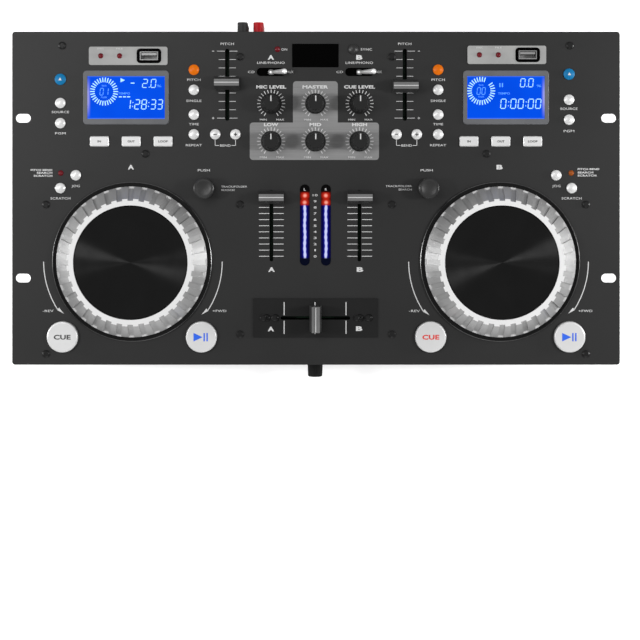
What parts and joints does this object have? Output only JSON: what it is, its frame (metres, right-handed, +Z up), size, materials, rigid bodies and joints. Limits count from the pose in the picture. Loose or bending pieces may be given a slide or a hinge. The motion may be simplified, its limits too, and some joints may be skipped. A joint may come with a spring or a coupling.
{
  "type": "dual cd player for dj",
  "caption": "Rack-width twin disc player console with jog wheels, slide-out trays, displays and a built-in mixer section, used to play and mix music.",
  "frame": {"origin": "middle of the four rack slots, on the underside of the top panel", "axes": "+X to the user's right along the panel, +Y to the rear, +Z up out of the panel's face"},
  "size_m": [0.4826, 0.2881, 0.1245],
  "materials": {
    "panel_paint": "satin black-grey powder coat",
    "body_paint": "satin black paint",
    "rubber": "matte",
    "screw_black": "black zinc",
    "bezel_grey": "satin grey",
    "fader_plate": "satin black",
    "frame_grey": "satin moulded",
    "display_glass": "clear window over a blue display",
    "strip_grey": "light grey",
    "led_red": "tinted lens",
    "base_black": "gloss moulded",
    "jack_black": "moulded with plated nut",
    "connector_plastic": "moulded sockets",
    "board_green": "solder mask",
    "loader_plastic": "moulded",
    "supply_board": "bare board",
    "jog_silver": "metallised, polished lip",
    "tray_black": "satin moulded",
    "cap_black": "satin moulded",
    "rotor_plastic": "moulded",
    "knob_black": "soft satin",
    "chrome": "polished",
    "button_blue": "tinted gloss",
    "button_silver": "silver paint",
    "button_orange": "tinted gloss",
    "transport_silver": "silver paint",
    "rocker_black": "gloss"
  },
  "bodies": {
    "console": {"top_panel": "panel_paint", "front_panel": "body_paint", "rear_panel": "body_paint", "bottom_cover": "body_paint", "rubber_feet": "rubber", "screws_and_standoffs": "screw_black", "tray_bezels": "bezel_grey", "crossfader_plate": "fader_plate", "display_frames": "frame_grey", "display_windows": "display_glass", "socket_strips": "strip_grey", "indicator_leds": "led_red", "jog_bases": "base_black", "front_jacks": "jack_black", "rear_connectors": "connector_plastic", "circuit_boards": "board_green", "disc_loaders": "loader_plastic", "power_supply": "supply_board"},
    "jog_wheel_a": {"jog_wheel_a": "jog_silver"},
    "disc_tray_a": {"disc_tray_a": "tray_black"},
    "pitch_fader_a": {"pitch_fader_a": "cap_black"},
    "channel_fader_a": {"channel_fader_a": "cap_black"},
    "encoder_rotor_a": {"encoder_rotor_a": "rotor_plastic"},
    "encoder_knob_a": {"encoder_knob_a": "knob_black"},
    "source_toggle_a": {"source_toggle_a": "chrome"},
    "eject_button_a": {"eject_button_a": "button_blue"},
    "source_buttons_a": {"source_buttons_a": "button_silver"},
    "loop_buttons_a": {"loop_buttons_a": "button_silver"},
    "pitch_button_a": {"pitch_button_a": "button_orange"},
    "mode_buttons_a": {"mode_buttons_a": "button_silver"},
    "bend_buttons_a": {"bend_buttons_a": "button_silver"},
    "scratch_buttons_a": {"scratch_buttons_a": "button_silver"},
    "cue_button_a": {"cue_button_a": "transport_silver"},
    "play_button_a": {"play_button_a": "transport_silver"},
    "jog_wheel_b": {"jog_wheel_b": "jog_silver"},
    "disc_tray_b": {"disc_tray_b": "tray_black"},
    "pitch_fader_b": {"pitch_fader_b": "cap_black"},
    "channel_fader_b": {"channel_fader_b": "cap_black"},
    "encoder_rotor_b": {"encoder_rotor_b": "rotor_plastic"},
    "encoder_knob_b": {"encoder_knob_b": "knob_black"},
    "source_toggle_b": {"source_toggle_b": "chrome"},
    "eject_button_b": {"eject_button_b": "button_blue"},
    "source_buttons_b": {"source_buttons_b": "button_silver"},
    "loop_buttons_b": {"loop_buttons_b": "button_silver"},
    "pitch_button_b": {"pitch_button_b": "button_orange"},
    "mode_buttons_b": {"mode_buttons_b": "button_silver"},
    "bend_buttons_b": {"bend_buttons_b": "button_silver"},
    "scratch_buttons_b": {"scratch_buttons_b": "button_silver"},
    "cue_button_b": {"cue_button_b": "transport_silver"},
    "play_button_b": {"play_button_b": "transport_silver"},
    "sync_button": {"sync_button": "knob_black"},
    "crossfader": {"crossfader": "cap_black"},
    "mic_level_knob": {"mic_level_knob": "knob_black"},
    "master_knob": {"master_knob": "knob_black"},
    "cue_level_knob": {"cue_level_knob": "knob_black"},
    "bass_knob": {"bass_knob": "knob_black"},
    "mid_knob": {"mid_knob": "knob_black"},
    "treble_knob": {"treble_knob": "knob_black"},
    "phones_cue_knob": {"phones_cue_knob": "knob_black"},
    "power_rocker": {"power_rocker": "rocker_black"}
  },
  "joints": [
    {"name": "jog_wheel_a_spin", "type": "hinge", "parent": "console", "child": "jog_wheel_a", "pos_m": [-0.146, -0.0504, 0], "axis": [0, 0, 1], "continuous": true},
    {"name": "disc_tray_a_slide", "type": "slide", "parent": "console", "child": "disc_tray_a", "axis": [0, -1, 0], "range_m": [0, 0.135]},
    {"name": "pitch_fader_a_slide", "type": "slide", "parent": "console", "child": "pitch_fader_a", "axis": [0, 1, 0], "range_m": [-0.0271, 0.0249]},
    {"name": "channel_fader_a_slide", "type": "slide", "parent": "console", "child": "channel_fader_a", "axis": [0, 1, 0], "range_m": [-0.045, 0]},
    {"name": "encoder_a_turn", "type": "hinge", "parent": "console", "child": "encoder_rotor_a", "pos_m": [-0.0885, 0.008, 0], "axis": [0, 0, 1], "continuous": true},
    {"name": "encoder_a_push", "type": "slide", "parent": "encoder_rotor_a", "child": "encoder_knob_a", "axis": [0, 0, -1], "range_m": [0, 0.001], "stiffness_N_per_m": 800, "springref_m": -0.0006},
    {"name": "source_toggle_a_throw", "type": "hinge", "parent": "console", "child": "source_toggle_a", "pos_m": [-0.03565, 0.1003, -0.003], "axis": [0, 1, 0], "range_deg": [-76, 0]},
    {"name": "eject_button_a_press", "type": "slide", "parent": "console", "child": "eject_button_a", "axis": [0, 0, -1], "range_m": [0, 0.0008], "stiffness_N_per_m": 700, "springref_m": -0.0006},
    {"name": "source_buttons_a_press", "type": "slide", "parent": "console", "child": "source_buttons_a", "axis": [0, 0, -1], "range_m": [0, 0.0008], "stiffness_N_per_m": 700, "springref_m": -0.0006},
    {"name": "loop_buttons_a_press", "type": "slide", "parent": "console", "child": "loop_buttons_a", "axis": [0, 0, -1], "range_m": [0, 0.0008], "stiffness_N_per_m": 700, "springref_m": -0.0006},
    {"name": "pitch_button_a_press", "type": "slide", "parent": "console", "child": "pitch_button_a", "axis": [0, 0, -1], "range_m": [0, 0.0008], "stiffness_N_per_m": 700, "springref_m": -0.0006},
    {"name": "mode_buttons_a_press", "type": "slide", "parent": "console", "child": "mode_buttons_a", "axis": [0, 0, -1], "range_m": [0, 0.0008], "stiffness_N_per_m": 700, "springref_m": -0.0006},
    {"name": "bend_buttons_a_press", "type": "slide", "parent": "console", "child": "bend_buttons_a", "axis": [0, 0, -1], "range_m": [0, 0.0008], "stiffness_N_per_m": 700, "springref_m": -0.0006},
    {"name": "scratch_buttons_a_press", "type": "slide", "parent": "console", "child": "scratch_buttons_a", "axis": [0, 0, -1], "range_m": [0, 0.0008], "stiffness_N_per_m": 700, "springref_m": -0.0006},
    {"name": "cue_button_a_press", "type": "slide", "parent": "console", "child": "cue_button_a", "axis": [0, 0, -1], "range_m": [0, 0.0015], "stiffness_N_per_m": 700, "springref_m": -0.0006},
    {"name": "play_button_a_press", "type": "slide", "parent": "console", "child": "play_button_a", "axis": [0, 0, -1], "range_m": [0, 0.0015], "stiffness_N_per_m": 700, "springref_m": -0.0006},
    {"name": "jog_wheel_b_spin", "type": "hinge", "parent": "console", "child": "jog_wheel_b", "pos_m": [0.146, -0.0504, 0], "axis": [0, 0, 1], "continuous": true},
    {"name": "disc_tray_b_slide", "type": "slide", "parent": "console", "child": "disc_tray_b", "axis": [0, -1, 0], "range_m": [0, 0.135]},
    {"name": "pitch_fader_b_slide", "type": "slide", "parent": "console", "child": "pitch_fader_b", "axis": [0, 1, 0], "range_m": [-0.0246, 0.0274]},
    {"name": "channel_fader_b_slide", "type": "slide", "parent": "console", "child": "channel_fader_b", "axis": [0, 1, 0], "range_m": [-0.045, 0]},
    {"name": "encoder_b_turn", "type": "hinge", "parent": "console", "child": "encoder_rotor_b", "pos_m": [0.0885, 0.008, 0], "axis": [0, 0, 1], "continuous": true},
    {"name": "encoder_b_push", "type": "slide", "parent": "encoder_rotor_b", "child": "encoder_knob_b", "axis": [0, 0, -1], "range_m": [0, 0.001], "stiffness_N_per_m": 800, "springref_m": -0.0006},
    {"name": "source_toggle_b_throw", "type": "hinge", "parent": "console", "child": "source_toggle_b", "pos_m": [0.03465, 0.1003, -0.003], "axis": [0, 1, 0], "range_deg": [-76, 0]},
    {"name": "eject_button_b_press", "type": "slide", "parent": "console", "child": "eject_button_b", "axis": [0, 0, -1], "range_m": [0, 0.0008], "stiffness_N_per_m": 700, "springref_m": -0.0006},
    {"name": "source_buttons_b_press", "type": "slide", "parent": "console", "child": "source_buttons_b", "axis": [0, 0, -1], "range_m": [0, 0.0008], "stiffness_N_per_m": 700, "springref_m": -0.0006},
    {"name": "loop_buttons_b_press", "type": "slide", "parent": "console", "child": "loop_buttons_b", "axis": [0, 0, -1], "range_m": [0, 0.0008], "stiffness_N_per_m": 700, "springref_m": -0.0006},
    {"name": "pitch_button_b_press", "type": "slide", "parent": "console", "child": "pitch_button_b", "axis": [0, 0, -1], "range_m": [0, 0.0008], "stiffness_N_per_m": 700, "springref_m": -0.0006},
    {"name": "mode_buttons_b_press", "type": "slide", "parent": "console", "child": "mode_buttons_b", "axis": [0, 0, -1], "range_m": [0, 0.0008], "stiffness_N_per_m": 700, "springref_m": -0.0006},
    {"name": "bend_buttons_b_press", "type": "slide", "parent": "console", "child": "bend_buttons_b", "axis": [0, 0, -1], "range_m": [0, 0.0008], "stiffness_N_per_m": 700, "springref_m": -0.0006},
    {"name": "scratch_buttons_b_press", "type": "slide", "parent": "console", "child": "scratch_buttons_b", "axis": [0, 0, -1], "range_m": [0, 0.0008], "stiffness_N_per_m": 700, "springref_m": -0.0006},
    {"name": "cue_button_b_press", "type": "slide", "parent": "console", "child": "cue_button_b", "axis": [0, 0, -1], "range_m": [0, 0.0015], "stiffness_N_per_m": 700, "springref_m": -0.0006},
    {"name": "play_button_b_press", "type": "slide", "parent": "console", "child": "play_button_b", "axis": [0, 0, -1], "range_m": [0, 0.0015], "stiffness_N_per_m": 700, "springref_m": -0.0006},
    {"name": "sync_button_press", "type": "slide", "parent": "console", "child": "sync_button", "axis": [0, 0, -1], "range_m": [0, 0.0008], "stiffness_N_per_m": 700, "springref_m": -0.0006},
    {"name": "crossfader_slide", "type": "slide", "parent": "console", "child": "crossfader", "axis": [1, 0, 0], "range_m": [-0.0225, 0.0225]},
    {"name": "mic_level_knob_turn", "type": "hinge", "parent": "console", "child": "mic_level_knob", "pos_m": [-0.0356, 0.0751, 0], "axis": [0, 0, 1], "range_deg": [-150, 150]},
    {"name": "master_knob_turn", "type": "hinge", "parent": "console", "child": "master_knob", "pos_m": [-0.0005, 0.0751, 0], "axis": [0, 0, 1], "range_deg": [-150, 150]},
    {"name": "cue_level_knob_turn", "type": "hinge", "parent": "console", "child": "cue_level_knob", "pos_m": [0.0346, 0.0751, 0], "axis": [0, 0, 1], "range_deg": [-150, 150]},
    {"name": "bass_knob_turn", "type": "hinge", "parent": "console", "child": "bass_knob", "pos_m": [-0.0356, 0.0452, 0], "axis": [0, 0, 1], "range_deg": [-150, 150]},
    {"name": "mid_knob_turn", "type": "hinge", "parent": "console", "child": "mid_knob", "pos_m": [-0.0005, 0.0452, 0], "axis": [0, 0, 1], "range_deg": [-150, 150]},
    {"name": "treble_knob_turn", "type": "hinge", "parent": "console", "child": "treble_knob", "pos_m": [0.0346, 0.0452, 0], "axis": [0, 0, 1], "range_deg": [-150, 150]},
    {"name": "phones_cue_knob_turn", "type": "hinge", "parent": "console", "child": "phones_cue_knob", "pos_m": [0, -0.1271, -0.0465], "axis": [0, -1, 0], "range_deg": [-150, 150]},
    {"name": "power_rocker_throw", "type": "hinge", "parent": "console", "child": "power_rocker", "pos_m": [0.125, 0.1255, -0.062], "axis": [1, 0, 0], "range_deg": [0, 20]}
  ]
}
